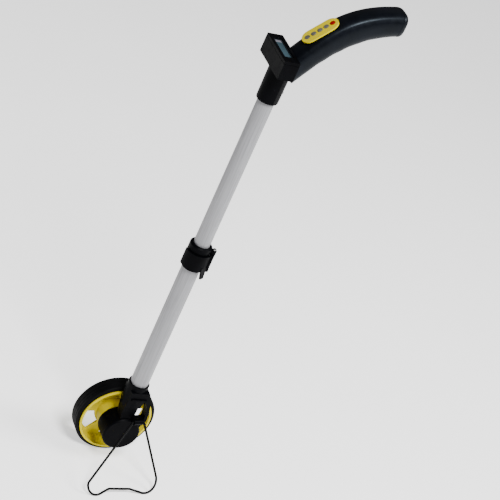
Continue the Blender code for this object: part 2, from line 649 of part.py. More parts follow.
def build_grip(slide, pad):
    shells = [grip_half("grip_shell_near", -1, slide), grip_half("grip_shell_far", 1, slide)]
    pocket = add("pad_pocket_cutter", outline_mesh("pad_pocket", pad_outline(GAP), 14 * MM),
                 None, pad, (0, 0, 5.0 * MM))
    through = add("pad_through_cutter", outline_mesh(
        "pad_through", stadium(25.5 * MM, 9.5 * MM), 24 * MM), None, pad, (0, 0, -2 * MM))
    for shell in shells:
        boolean(shell, pocket)
        boolean(shell, through)
    middle, half = grip_section(1.0)
    bm = bmesh.new()
    sections = []
    for out, scale in ((0.9, 1.0), (4.5, 0.97), (8, 0.84), (10.5, 0.55)):
        row = []
        for step in range(20):
            angle = math.radians(90 - 18 * step)
            across = squared(math.cos(angle))
            rise = squared(math.sin(angle))
            place = middle + half * rise * scale
            row.append(bm.verts.new((place.x + out * MM, across * GRIP_HALF_WIDTH * scale,
                                     place.y)))
        sections.append(row)
    for first, second in zip(sections, sections[1:]):
        for index in range(20):
            after = (index + 1) % 20
            bm.faces.new((first[index], second[index], second[after], first[after]))
    bm.faces.new(sections[0])
    bm.faces.new(sections[-1][::-1])
    bmesh.ops.recalc_face_normals(bm, faces=bm.faces)
    add("grip_end_cap", mesh_from(bm, "grip_end_cap"), "black_plastic", slide)

    for index, t in enumerate((0.30, 0.62, 0.92)):
        centre, rise = grip_section(t)
        centre = centre - rise * 0.45
        place = (centre.x, GRIP_HALF_WIDTH - 1.2 * MM, centre.y)
        outward = (math.radians(-90), 0, 0)
        name = f"grip_screw_{index + 1}"
        screw(name, slide, place, outward, 2.8, 1.3, 24)
        way = turned(f"{name}_cutter", [(0, 12), (3.2, 12), (3.2, -0.3), (1.6, -0.3),
                                        (1.6, -6), (0, -6)],
                     None, slide, 16, place, outward)
        boolean(shells[1], way)
    for index, (t, side) in enumerate(((0.66, -1), (0.66, 1))):
        centre, rise = grip_section(t)
        ahead = grip_section(t + 0.02)[0] - centre
        slope = math.atan2(ahead.y, ahead.x)
        place = centre + rise * 0.25
        battery = add(f"battery_{index + 1}", cylinder_mesh(
            "battery", 5.2 * MM, -22 * MM, 22 * MM, 20), "battery_sleeve", slide,
            (place.x, side * 5.7 * MM, place.y), (0, math.radians(90) - slope, 0))
        battery.data.shade_smooth()


def build_buttons(pad, presses):
    plate = add("button_pad", outline_mesh("button_pad", pad_outline(0), 2.4 * MM),
                "yellow_plastic", pad)
    add("button_board", outline_mesh("button_board", stadium(25 * MM, 6.5 * MM), 1.4 * MM),
        "circuit_board", pad, (0, 0, -6.4 * MM))
    for index, press in enumerate(presses):
        place = button_place(index)
        way = add(f"button_{index + 1}_cutter", cylinder_mesh(
            "button_way", BUTTON_RADIUS + GAP, -10 * MM, 10 * MM, 20), None, pad, place)
        boolean(plate, way)
        last = index == BUTTON_COUNT - 1
        name = "power_button" if last else f"button_{index + 1}"
        radius = BUTTON_RADIUS / MM
        turned(name, [(0, 2.4), (radius * 0.6, 2.3), (radius, 1.7), (radius, -1.5),
                      (radius + 0.9, -1.5), (radius + 0.9, -3.2), (0, -3.2)],
               "red_rubber" if last else "grey_rubber", press, 20)


def button_place(index):
    return Vector(((index - (BUTTON_COUNT - 1) / 2) * BUTTON_PITCH, 0, 0))


# ---- assembly -----------------------------------------------------------
def centre_on_floor(root):
    """Move the object so that its box stands centred on the origin."""
    bpy.context.view_layer.update()
    graph = bpy.context.evaluated_depsgraph_get()
    corners = []
    for obj in PARTS.objects:
        if obj.type == "MESH":
            shape = obj.evaluated_get(graph)
            corners += [shape.matrix_world @ vert.co for vert in shape.data.vertices]
    low = [min(co[i] for co in corners) for i in range(3)]
    high = [max(co[i] for co in corners) for i in range(3)]
    root.location = Vector((-(low[0] + high[0]) / 2, -(low[1] + high[1]) / 2, -low[2]))


def main():
    root = new_empty("measuring_wheel_root", None, (0, 0, 0),
                     (LEAN_TO_STAND, -LEAN_FORWARD, 0))
    pole = new_empty("pole_frame", root, (0, 0, 0))
    wheel_turn = (math.radians(90), 0, 0)
    fixed_axis = new_empty("axle_frame", pole, (0, WHEEL_OFFSET, 0), wheel_turn)
    axis = new_empty("joint_wheel_spin", pole, (0, WHEEL_OFFSET, 0), wheel_turn)
    stand_pivot = new_empty("joint_stand_fold", pole, STAND_PIVOT, (0, 0, STAND_YAW))
    lever_axis = new_empty("joint_clamp_lever", pole, lever_pin_place())
    slide = new_empty("joint_tube_slide", pole)
    pad = new_empty("pad_frame", slide, PAD_CENTRE, (0, -PAD_ANGLE, 0))
    presses = [new_empty(f"joint_button_{index + 1}", pad, button_place(index))
               for index in range(BUTTON_COUNT)]
    build_tyre(axis)
    build_wheel(axis)
    build_hub(axis, fixed_axis)
    build_bracket(pole, fixed_axis)
    build_sensor(fixed_axis)
    build_bracket_bolt(pole)
    build_stand(stand_pivot)
    build_tubes(pole, slide)
    build_clamp(pole, lever_axis)
    build_head(slide)
    build_grip(slide, pad)
    build_buttons(pad, presses)
    centre_on_floor(root)


clear_scene()
PARTS = new_collection("measuring_wheel")
CUTTERS = new_collection("cutters")
main()
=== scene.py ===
"""Looks of the measuring wheel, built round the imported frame.

Everything is placed in the pole's own frame: origin on the pole's axis at the
height of the wheel's centre, +Z up the pole, -Y toward the bracket's side.
Lengths are in metres; names ending in _MM are in millimetres.
"""

import json
import math

import bmesh
import bpy
from mathutils import Matrix, Vector


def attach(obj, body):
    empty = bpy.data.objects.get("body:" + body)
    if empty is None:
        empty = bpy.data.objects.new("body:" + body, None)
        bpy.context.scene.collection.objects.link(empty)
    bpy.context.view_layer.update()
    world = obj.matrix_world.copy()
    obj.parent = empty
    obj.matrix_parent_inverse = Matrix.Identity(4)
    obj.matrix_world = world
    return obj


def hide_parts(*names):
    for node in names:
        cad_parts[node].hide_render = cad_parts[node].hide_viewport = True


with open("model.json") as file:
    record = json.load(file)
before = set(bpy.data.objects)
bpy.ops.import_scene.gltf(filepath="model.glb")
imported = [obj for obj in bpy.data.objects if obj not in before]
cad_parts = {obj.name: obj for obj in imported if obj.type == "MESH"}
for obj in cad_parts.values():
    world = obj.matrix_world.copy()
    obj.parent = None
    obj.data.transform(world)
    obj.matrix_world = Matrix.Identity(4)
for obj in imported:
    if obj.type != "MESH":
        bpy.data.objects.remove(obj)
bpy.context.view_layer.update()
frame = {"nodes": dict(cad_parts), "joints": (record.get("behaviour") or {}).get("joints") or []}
MM = 0.001
NODES = frame["nodes"]
JOINTS = {joint["name"]: joint for joint in frame["joints"]}

# ---- the pole's frame ---------------------------------------------------
UP = -Vector(JOINTS["tube_slide"]["axis"]).normalized()
NEAR = Vector(JOINTS["wheel_spin"]["axis"]).normalized()
NEAR = (NEAR - UP * NEAR.dot(UP)).normalized()
ALONG = (-NEAR).cross(UP)
WHEEL_CENTRE = Vector(JOINTS["wheel_spin"]["pos_m"])
TURN = Matrix((ALONG, -NEAR, UP)).transposed()


def middle_of(node):
    """Mean of a CAD node's corners."""
    points = [vert.co for vert in NODES[node].data.vertices]
    return sum(points, Vector()) / len(points)


WHEEL_OFFSET = (middle_of("lower_tube") - WHEEL_CENTRE).dot(NEAR)
ORIGIN = WHEEL_CENTRE + NEAR * WHEEL_OFFSET
POLE = Matrix.Translation(ORIGIN) @ TURN.to_4x4()
AXLE = Matrix.Translation(WHEEL_CENTRE) @ (TURN @ Matrix.Rotation(math.pi / 2, 3, "X")).to_4x4()


def pole_span(node):
    """Lowest and highest corner of a CAD node in the pole's frame."""
    inverse = POLE.inverted()
    points = [inverse @ vert.co for vert in NODES[node].data.vertices]
    return [Vector(pick(p[i] for p in points) for i in range(3)) for pick in (min, max)]


TYRE_POINTS = [AXLE.inverted() @ vert.co for vert in NODES["tyre"].data.vertices]
TREAD_RADIUS = max(point.xy.length for point in TYRE_POINTS)
TYRE_HALF_WIDTH = max(point.z for point in TYRE_POINTS)

# ---- materials ----------------------------------------------------------
MATERIALS = {}


class Look:
    """A Principled material with short calls for its procedural nodes."""

    def __init__(self, name, roughness, metallic=0.0):
        self.material = bpy.data.materials.new(name)
        self.material.use_nodes = True
        self.tree = self.material.node_tree
        self.shader = self.tree.nodes["Principled BSDF"]
        self.shader.inputs["Roughness"].default_value = roughness
        self.shader.inputs["Metallic"].default_value = metallic
        self.coords = self.pole_coords((1, 1, 1))
        MATERIALS[name] = self.material

    def node(self, kind, **inputs):
        made = self.tree.nodes.new(kind)
        for name, value in inputs.items():
            socket = made.inputs[name.replace("_", " ")]
            if isinstance(value, bpy.types.NodeSocket):
                self.tree.links.new(value, socket)
            else:
                socket.default_value = value
        return made

    def pole_coords(self, stretch):
        """Coordinates along the pole's own axes; stretch squeezes each axis."""
        place = self.node("ShaderNodeTexCoord")
        turned = self.node("ShaderNodeMapping", Vector=place.outputs["Object"])
        turned.vector_type = "TEXTURE"
        turned.inputs["Location"].default_value = ORIGIN
        turned.inputs["Rotation"].default_value = TURN.to_euler()
        turned.inputs["Scale"].default_value = [1 / value for value in stretch]
        return turned.outputs["Vector"]

    def noise(self, scale, detail=3.0, coords=None, roughness=0.55):
        made = self.node("ShaderNodeTexNoise", Vector=coords or self.coords, Scale=scale,
                         Detail=detail, Roughness=roughness)
        return made.outputs["Fac"]

    def ramp(self, value, low, high, start=0.3, end=0.7):
        made = self.node("ShaderNodeValToRGB", Fac=value)
        first, last = made.color_ramp.elements
        first.position, last.position = start, end
        first.color, last.color = (*low, 1), (*high, 1)
        return made.outputs["Color"]

    def span(self, value, low, high, start=0.3, end=0.7):
        made = self.node("ShaderNodeMapRange", Value=value)
        made.inputs["From Min"].default_value = start
        made.inputs["From Max"].default_value = end
        made.inputs["To Min"].default_value = low
        made.inputs["To Max"].default_value = high
        return made.outputs["Result"]

    def drive(self, socket, value):
        self.tree.links.new(value, self.shader.inputs[socket])

    def bump(self, height, strength, distance, under=None):
        made = self.node("ShaderNodeBump", Height=height, Strength=strength, Distance=distance)
        if under:
            self.tree.links.new(under, made.inputs["Normal"])
        self.drive("Normal", made.outputs["Normal"])
        return made.outputs["Normal"]


CLOUD_SCALE = 38                     # noise scales, in cycles to the metre
GLOSS_SCALE = 120
WAVE_SCALE = 16
WAVE_HEIGHT = 1.2 * MM
WAVE_STRENGTH = 0.10
GRAIN_HEIGHT = 0.05 * MM
GLOSS_BELOW, GLOSS_ABOVE = 0.06, 0.10
GRIP_TINT = (0.72, 0.86, 1.0, 1)

# low colour, high colour, roughness, size and strength of the grain, specular level
PLASTICS = {
    "black_plastic": ((0.0006, 0.0006, 0.0009), (0.0016, 0.0017, 0.0024),
                      0.40, 0.35 * MM, 0.30, 0.022),
    "grip_plastic": ((0.0007, 0.0008, 0.0013), (0.0018, 0.0022, 0.0038),
                     0.36, 0.30 * MM, 0.12, 0.11),
    "yellow_plastic": ((0.43, 0.345, 0.0004), (0.58, 0.475, 0.0014),
                       0.42, 0.5 * MM, 0.20, 0.08),
    "yellow_pad": ((0.39, 0.315, 0.0001), (0.45, 0.365, 0.0003),
                   0.50, 0.5 * MM, 0.15, 0.02),
    "tyre_rubber": ((0.0008, 0.0008, 0.0009), (0.0024, 0.0024, 0.0028),
                    0.60, 0.6 * MM, 0.60, 0.05),
    "black_wire": ((0.0008, 0.0008, 0.0009), (0.0018, 0.0018, 0.0020),
                   0.45, 0.8 * MM, 0.30, 0.05),
    "grey_rubber": ((0.045, 0.043, 0.036), (0.10, 0.096, 0.083),
                    0.50, 0.4 * MM, 0.35, 0.1),
    "red_rubber": ((0.13, 0.0006, 0.0003), (0.20, 0.002, 0.0006),
                   0.48, 0.4 * MM, 0.30, 0.05),
    "bush_acetal": ((0.66, 0.65, 0.60), (0.76, 0.75, 0.71),
                    0.45, 0.8 * MM, 0.15, 0.3),
    "magnet_ferrite": ((0.035, 0.034, 0.033), (0.075, 0.072, 0.070),
                       0.55, 0.3 * MM, 0.5, 0.3),
}


def plastic(name, low, high, roughness, grain_size, grain, specular):
    """Moulded plastic: a faint cloudiness, uneven gloss and a fine moulded grain."""
    look = Look(name, roughness)
    look.shader.inputs["Specular IOR Level"].default_value = specular
    look.drive("Base Color", look.ramp(look.noise(CLOUD_SCALE, 4), low, high))
    look.drive("Roughness", look.span(look.noise(GLOSS_SCALE, 5), roughness - GLOSS_BELOW,
                                      roughness + GLOSS_ABOVE))
    wave = look.bump(look.noise(WAVE_SCALE, 2), WAVE_STRENGTH, WAVE_HEIGHT)
    look.bump(look.noise(1 / grain_size, 2, roughness=0.7), grain, GRAIN_HEIGHT, wave)
    return look


def make_materials():
    plastics = {name: plastic(name, *values) for name, values in PLASTICS.items()}
    plastics["grip_plastic"].shader.inputs["Specular Tint"].default_value = GRIP_TINT

    tube = Look("brushed_aluminium", 0.45, 0.22)
    streaks = tube.noise(1.0, 4, tube.pole_coords((900, 900, 14)))
    tube.drive("Base Color", tube.ramp(streaks, (0.17, 0.17, 0.178), (0.245, 0.245, 0.255)))
    tube.drive("Roughness", tube.span(tube.noise(60, 4), 0.38, 0.52))
    fine = tube.bump(tube.noise(1.0, 3, tube.pole_coords((2600, 2600, 30))), 0.25, 0.03 * MM)
    tube.bump(tube.noise(2500, 2), 0.12, 0.02 * MM, fine)

    steel = Look("zinc_steel", 0.32, 0.95)
    steel.drive("Base Color", steel.ramp(steel.noise(300, 4), (0.20, 0.20, 0.205),
                                         (0.32, 0.32, 0.315)))
    steel.drive("Roughness", steel.span(steel.noise(500, 4), 0.26, 0.44))
    steel.bump(steel.noise(2200, 3), 0.2, 0.03 * MM)

    board = Look("circuit_board", 0.45)
    tracks = board.node("ShaderNodeTexBrick", Vector=board.coords, Scale=160.0)
    tracks.inputs["Color1"].default_value = (0.010, 0.115, 0.040, 1)
    tracks.inputs["Color2"].default_value = (0.014, 0.150, 0.055, 1)
    tracks.inputs["Mortar"].default_value = (0.030, 0.230, 0.080, 1)
    board.drive("Base Color", tracks.outputs["Color"])
    board.bump(board.noise(900, 3), 0.2, 0.05 * MM)

    battery = Look("battery_sleeve", 0.30)
    battery.drive("Base Color", battery.ramp(battery.noise(90, 3), (0.05, 0.11, 0.26),
                                             (0.09, 0.18, 0.38)))
    battery.bump(battery.noise(700, 3), 0.15, 0.05 * MM)

    window = Look("clear_window", 0.06)
    window.shader.inputs["Alpha"].default_value = 0.16
    window.drive("Base Color", window.ramp(window.noise(60, 2), (0.010, 0.014, 0.018),
                                           (0.016, 0.020, 0.026)))
    window.drive("Roughness", window.span(window.noise(400, 4), 0.05, 0.12))
    make_lcd_material()


LCD_STRIP_PART = 0.13                # of the panel's length
LCD_STRIP_BLUR = 0.3 * MM
LCD_CELL_SCALE = 420.0


def make_lcd_material():
    """A blue-grey liquid crystal glass: pale end strip, then a fine grid of cells."""
    look = Look("lcd_glass", 0.30)
    low, high = pole_span("lcd_panel")
    axes = look.node("ShaderNodeSeparateXYZ", Vector=look.coords)
    strip_start = high.y - LCD_STRIP_PART * (high.y - low.y)
    strip = look.span(axes.outputs["Y"], 0.0, 1.0, strip_start, strip_start + LCD_STRIP_BLUR)
    cells = look.node("ShaderNodeTexBrick", Vector=look.coords, Scale=LCD_CELL_SCALE)
    cells.inputs["Color1"].default_value = (0.034, 0.072, 0.092, 1)
    cells.inputs["Color2"].default_value = (0.038, 0.079, 0.100, 1)
    cells.inputs["Mortar"].default_value = (0.028, 0.061, 0.080, 1)
    body = look.node("ShaderNodeMix", Factor=strip)
    body.data_type = "RGBA"
    colours = [socket for socket in body.inputs if socket.type == "RGBA"]
    look.tree.links.new(cells.outputs["Color"], colours[0])
    look.tree.links.new(look.ramp(look.noise(90, 3), (0.20, 0.20, 0.24), (0.27, 0.27, 0.31)),
                        colours[1])
    result = [socket for socket in body.outputs if socket.type == "RGBA"][0]
    look.drive("Base Color", result)
    look.bump(look.noise(1500, 2), 0.05, 0.02 * MM)


# ---- mesh helpers -------------------------------------------------------
SAME_POINT = 0.002 * MM
FLAT_ANGLE = math.radians(0.6)
BEVEL_SEGMENTS = 3
BEVEL_ANGLE = math.radians(32)
AXIS_MM = 0.001                      # an outline that starts or ends here closes on its axis
WIRE_AROUND = 20
DOME_SCALE, DOME_REACH = 0.55, 0.75  # of the wire's radius, at its domed ends


def piece(name, mesh, look, body, place=None, replaces=(), slot=None, sharp=35):
    """Link a finished mesh, give it its material and body."""
    if place is not None:
        mesh.transform(place)
    obj = bpy.data.objects.new(name, mesh)
    bpy.context.scene.collection.objects.link(obj)
    mesh.materials.clear()
    mesh.materials.append(MATERIALS[look])
    mesh.shade_smooth()
    mesh.set_sharp_from_angle(angle=math.radians(sharp))
    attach(obj, body)
    if replaces:
        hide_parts(*replaces)
    return obj


def bevelled(obj, width):
    """Round the sharp edges of a piece."""
    modifier = obj.modifiers.new("soft_edges", "BEVEL")
    modifier.width = width
    modifier.segments = BEVEL_SEGMENTS
    modifier.limit_method = "ANGLE"
    modifier.angle_limit = BEVEL_ANGLE
    modifier.miter_outer = "MITER_ARC"
    modifier.harden_normals = True


def mesh_from(bm, name):
    """A named mesh from bm, with its normals made consistent; bm is used up."""
    mesh = bpy.data.meshes.new(name)
    bmesh.ops.recalc_face_normals(bm, faces=bm.faces)
    bm.to_mesh(mesh)
    bm.free()
    return mesh


def refined(node, body, look, width):
    """The CAD node's own shape with its edges rounded as a moulding's are."""
    bm = bmesh.new()
    bm.from_mesh(NODES[node].data)
    bmesh.ops.remove_doubles(bm, verts=bm.verts, dist=SAME_POINT)
    bmesh.ops.dissolve_limit(bm, angle_limit=FLAT_ANGLE, verts=bm.verts, edges=bm.edges)
    bevelled(piece(f"{node}_moulded", mesh_from(bm, node), look, body, None, [node], look), width)


def turned(name, profile, look, body, place, replaces=(), slot=None, steps=96, sharp=35):
    """Turn a closed (radius, height) outline in millimetres about local Z."""
    bm = bmesh.new()
    rows = []
    for step in range(steps):
        angle = 2 * math.pi * step / steps
        turn = Vector((math.cos(angle), math.sin(angle), 0)) * MM
        rows.append([bm.verts.new(turn * radius + Vector((0, 0, height * MM)))
                     for radius, height in profile])
    for first, second in zip(rows, rows[1:] + rows[:1]):
        for index in range(len(profile)):
            after = (index + 1) % len(profile)
            bm.faces.new((first[index], second[index], second[after], first[after]))
    bmesh.ops.remove_doubles(bm, verts=bm.verts, dist=AXIS_MM * MM)
    piece(name, mesh_from(bm, name), look, body, place, replaces, slot, sharp)


def corner(centre_r, centre_h, radius, start, end, count=5):
    """A rounded corner of a turned outline, angles in degrees."""
    angles = [math.radians(start + (end - start) * i / (count - 1)) for i in range(count)]
    return [(centre_r + radius * math.cos(a), centre_h + radius * math.sin(a)) for a in angles]


def swept(name, points, radius, look, body, replaces, slot):
    """A round wire along points, with domed ends."""
    bm = bmesh.new()
    rows = []
    side = Vector((0, 1, 0))
    last = len(points) - 1
    stations = [(points[0], DOME_SCALE, -DOME_REACH)] + [(point, 1.0, 0) for point in points]
    stations += [(points[-1], DOME_SCALE, DOME_REACH)]
    for index, (point, scale, ahead) in enumerate(stations):
        at = min(max(index - 1, 0), last)
        along = (points[min(at + 1, last)] - points[max(at - 1, 0)]).normalized()
        side = (side - along * side.dot(along)).normalized()
        other = along.cross(side)
        centre = point + along * ahead * radius
        row = []
        for k in range(WIRE_AROUND):
            angle = 2 * math.pi * k / WIRE_AROUND
            spoke = side * math.cos(angle) + other * math.sin(angle)
            row.append(bm.verts.new(centre + spoke * radius * scale))
        rows.append(row)
    for first, second in zip(rows, rows[1:]):
        for k in range(WIRE_AROUND):
            after = (k + 1) % WIRE_AROUND
            bm.faces.new((first[k], second[k], second[after], first[after]))
    bm.faces.new(rows[0])
    bm.faces.new(rows[-1][::-1])
    piece(name, mesh_from(bm, name), look, body, None, replaces, slot)


# ---- wheel and tyre -----------------------------------------------------
TYRE_BORE_MM = 56.3
TREAD_INSET_MM = 0.02                # keeps the round tread inside the CAD box
SHOULDER_MM = 2.6
BEAD_LINE_MM = (58.0, 58.4, 58.8)    # radii of the line's two edges and, between them, its floor
BEAD_DEPTH_MM = 0.35
GROOVES_MM = (6.0, 0.0, -6.0)
GROOVE_HALF_TOP_MM = 0.7
GROOVE_HALF_FLOOR_MM = 0.45
GROOVE_DEPTH_MM = 0.5


def build_tyre():
    """Rubber ring with a grooved tread and a bead line on each side."""
    tread = TREAD_RADIUS / MM - TREAD_INSET_MM
    floor = tread - GROOVE_DEPTH_MM
    half = TYRE_HALF_WIDTH / MM
    inner, middle, outer = BEAD_LINE_MM
    flank = [(TYRE_BORE_MM, half), (inner, half), (middle, half - BEAD_DEPTH_MM), (outer, half)]
    flank += corner(tread - SHOULDER_MM, half - SHOULDER_MM, SHOULDER_MM, 90, 0, 7)
    grooves = []
    for place in GROOVES_MM:
        grooves += [(tread, place + GROOVE_HALF_TOP_MM), (floor, place + GROOVE_HALF_FLOOR_MM),
                    (floor, place - GROOVE_HALF_FLOOR_MM), (tread, place - GROOVE_HALF_TOP_MM)]
    mirrored = [(radius, -height) for radius, height in reversed(flank)]
    turned("tyre_tread", flank + grooves + mirrored, "tyre_rubber", "wheel", AXLE, ["tyre"],
           "tyre", 144, 28)


# ---- wire stand ---------------------------------------------------------
STAND_SPLAY = math.radians(34.3)
STAND_HALF_TOP = 11.0 * MM
# for each side, how far out the foot's bend has its centre, and the bend's radius
STAND_FEET = {-1: (67.5 * MM, 15.5 * MM), 1: (18.0 * MM, 20.0 * MM)}
STAND_EYE_MM = [(-4.0, 0.0), (-1.5, 0.5), (0.0, 2.5)]    # out and down, at the hinge
FOOT_START, FOOT_SWEEP = -14, 132    # degrees
FOOT_STEPS = 11
FOOT_TURN_IN = 1.25                  # of the bend's radius, to the wire's inner run
BAR_SLOPE_MM = [(2.0, 1.8), (-2.0, 0.3)]                 # out and down, where the bar starts
STAND_ROUNDING = 4 * MM
STAND_BAR_RISE = 8.5 * MM
WIRE_RADIUS = 1.84 * MM


def rounded_route(points, radius, count=7):
    """The same route with each corner replaced by a short curve."""
    route = [points[0]]
    for before, here, after in zip(points, points[1:], points[2:]):
        back, ahead = before - here, after - here
        reach = min(radius, back.length * 0.48, ahead.length * 0.48)
        start = here + back.normalized() * reach
        end = here + ahead.normalized() * reach
        for step in range(count):
            t = step / (count - 1)
            route.append(start * (1 - t) ** 2 + here * 2 * t * (1 - t) + end * t * t)
    return route + [points[-1]]


def build_stand():
    """The wire loop: down from the hinge, round a foot, along the bar, round the other, up."""
    hinge = JOINTS["stand_fold"]
    pivot = Vector(hinge["pos_m"])
    across = -Vector(hinge["axis"]).normalized()
    back = UP.cross(across)
    down = -(back * math.sin(STAND_SPLAY) + UP * math.cos(STAND_SPLAY))

    def half(side):
        out, bend = STAND_FEET[side]
        start = pivot + across * (side * out)
        reach = (start.z - WIRE_RADIUS) / -down.z
        inner = out - FOOT_TURN_IN * bend
        bar = reach - STAND_BAR_RISE
        route = [(STAND_HALF_TOP + x * MM, along * MM) for x, along in STAND_EYE_MM]
        for step in range(FOOT_STEPS + 1):
            angle = math.radians(FOOT_START + FOOT_SWEEP * step / FOOT_STEPS)
            route.append((out + bend * math.cos(angle), reach - bend + bend * math.sin(angle)))
        route += [(inner + x * MM, bar + along * MM) for x, along in BAR_SLOPE_MM]
        return [pivot + across * (side * x) + down * along for x, along in route]

    route = rounded_route(half(-1) + half(1)[::-1], STAND_ROUNDING)
    swept("stand_wire", route, WIRE_RADIUS, "black_wire", "stand", ["wire_stand"], "black_wire")


# ---- tubes --------------------------------------------------------------
LOWER_TUBE_MM, UPPER_TUBE_MM = 14.0, 12.5                # radii
TUBE_WALL_MM = 1.0
TUBE_EDGE_MM = 0.25


def build_tube(node, body, radius, name):
    """A tube with rounded ends; radius in millimetres."""
    low, high = pole_span(node)
    bottom, top = low.z / MM, high.z / MM
    middle, bore = radius - TUBE_EDGE_MM, radius - TUBE_WALL_MM
    profile = (corner(middle, bottom + TUBE_EDGE_MM, TUBE_EDGE_MM, -90, 0, 3)
               + corner(middle, top - TUBE_EDGE_MM, TUBE_EDGE_MM, 0, 90, 3)
               + [(bore, top), (bore, bottom)])
    turned(name, profile, "brushed_aluminium", body, POLE, [node], "aluminium_tube", 96)


# ---- grip ---------------------------------------------------------------
GRIP_TOP_MM = [(5, 692), (35, 736), (60, 776), (137.5, 787)]
GRIP_BOTTOM_MM = [(18.5, 651), (43, 686), (72, 734), (137.5, 750.5)]
GRIP_HALF_WIDTH = 19.0 * MM
GRIP_SQUARENESS = 0.62
GRIP_STATIONS = 64
GRIP_FIT = 0.993                     # keeps the smooth skin inside the faceted CAD one
GRIP_AROUND = 26
FINGER_GROOVES = 4
FINGER_START, FINGER_END = 0.22, 0.86                    # of the grip's length
FINGER_DEPTH = 0.035
CREASE_AT, CREASE_WIDTH = math.radians(33), 0.05         # angles, in radians
CREASE_MM = 0.35
SHELL_WALL = 2.4 * MM
GRIP_SEAM = 0.08 * MM                # half of the parting line between the shells
KEY_ROOM = 1.5 * MM                  # under the keys, for their 1 mm of travel
PAD_SEAT = (16.0 * MM, 12.3 * MM)    # half the straight and the end radius of each pocket
KEY_SLOT = (19.6 * MM, 5.1 * MM)
PAD_SEAT_DEPTH = 3.2 * MM            # under the pad's middle
CUTTER_ABOVE = 14.0 * MM
CUTTER_END_STEPS = 16
# millimetres out and scale: the spigot inside the shells, then the rounded end
END_CAP_MM = [(-3.0, 0.83), (0.45, 0.83), (0.45, 1.0), (3.0, 0.993), (5.0, 0.965),
              (7.0, 0.90), (8.7, 0.79), (9.9, 0.62), (10.5, 0.40)]


def bezier(points, t):
    """A point of a cubic curve, t from 0 to 1."""
    weights = ((1 - t) ** 3, 3 * t * (1 - t) ** 2, 3 * t * t * (1 - t), t ** 3)
    return sum((Vector(p) * w for p, w in zip(points, weights)), Vector((0, 0)))


def squared(value):
    """A sine or cosine pushed outward, so that a round section gets fuller corners."""
    return math.copysign(abs(value) ** GRIP_SQUARENESS, value)


def grip_section(t):
    """Middle and half height of the grip at t, as (x, z) in the pole's frame."""
    top = bezier(GRIP_TOP_MM, t) * MM
    bottom = bezier(GRIP_BOTTOM_MM, t) * MM
    return (top + bottom) / 2, (top - bottom) / 2 * GRIP_FIT


def finger_dip(t):
    """Depth of the finger grooves under the grip, as a part of its half height."""
    if not FINGER_START < t < FINGER_END:
        return 0.0
    turns = FINGER_GROOVES * (t - FINGER_START) / (FINGER_END - FINGER_START)
    return FINGER_DEPTH * (1 - math.cos(2 * math.pi * turns)) / 2


def grip_row(bm, t, side, inset):
    """Half of one cross-section, from the top round the side to the bottom."""
    middle, half = grip_section(t)
    row = []
    for step in range(GRIP_AROUND):
        angle = math.radians(90 - 180 * step / (GRIP_AROUND - 1))
        out = squared(math.cos(angle)) * (GRIP_HALF_WIDTH - inset)
        rise = squared(math.sin(angle)) * (1 - inset / half.length)
        if rise < 0:
            rise *= 1 - finger_dip(t)
        crease = math.exp(-((angle - CREASE_AT) / CREASE_WIDTH) ** 2) * CREASE_MM * MM
        place = middle + half * rise
        row.append(bm.verts.new((place.x, side * (max(out - crease, 0) + GRIP_SEAM), place.y)))
    return row


def build_grip_half(side, name, node):
    """One moulded half: outer skin, inner skin a wall inside it, closed at its rims."""
    bm = bmesh.new()
    skins = []
    for inset in (0.0, SHELL_WALL):
        skins.append([grip_row(bm, i / (GRIP_STATIONS - 1), side, inset)
                      for i in range(GRIP_STATIONS)])
    for rows in skins:
        for first, second in zip(rows, rows[1:]):
            for a, b, c, d in zip(first, first[1:], second[1:], second):
                bm.faces.new((a, b, c, d))
    outer, inner = skins
    for rim in ([row[0] for row in outer], [row[0] for row in inner]), \
               ([row[-1] for row in outer], [row[-1] for row in inner]), \
               (outer[0], inner[0]), (outer[-1], inner[-1]):
        for a, b, c, d in zip(rim[0], rim[0][1:], rim[1][1:], rim[1]):
            bm.faces.new((a, b, c, d))
    shell = piece(name, mesh_from(bm, name), "grip_plastic", "handle", POLE, [node],
                  "black_plastic", 50)
    middle, press = pad_place()
    key_foot = max((vert.co - middle).dot(press) for vert in NODES["button_1"].data.vertices)
    for cutter in (slot_cutter("pad_seat_cutter", *PAD_SEAT, PAD_SEAT_DEPTH),
                   slot_cutter("key_slot_cutter", *KEY_SLOT, key_foot + KEY_ROOM)):
        cut = shell.modifiers.new(cutter.name, "BOOLEAN")
        cut.solver = "EXACT"
        cut.object = cutter
    carved = shell.evaluated_get(bpy.context.evaluated_depsgraph_get())
    mesh = bpy.data.meshes.new_from_object(carved)
    shell.modifiers.clear()
    shell.data = mesh


def pad_place():
    """The pad's middle and the direction in which its keys are pressed."""
    return middle_of("button_pad"), Vector(JOINTS["button_1_press"]["axis"]).normalized()


def slot_cutter(name, straight, radius, below):
    """A round-ended block through the pad's seat, used as a cutter only."""
    found = bpy.data.objects.get(name)
    if found:
        return found
    middle, press = pad_place()
    long_axis = NEAR.cross(press).normalized()
    outline = []
    for start, shift in ((-90, straight), (90, -straight)):
        for step in range(CUTTER_END_STEPS + 1):
            angle = math.radians(start + 180 * step / CUTTER_END_STEPS)
            outline.append(middle + long_axis * (shift + radius * math.cos(angle))
                           + NEAR * radius * math.sin(angle))
    bm = bmesh.new()
    low = [bm.verts.new(point + press * below) for point in outline]
    high = [bm.verts.new(point - press * CUTTER_ABOVE) for point in outline]
    bm.faces.new(low)
    bm.faces.new(high[::-1])
    for index in range(len(outline)):
        after = (index + 1) % len(outline)
        bm.faces.new((low[index], high[index], high[after], low[after]))
    return bpy.data.objects.new(name, mesh_from(bm, name))


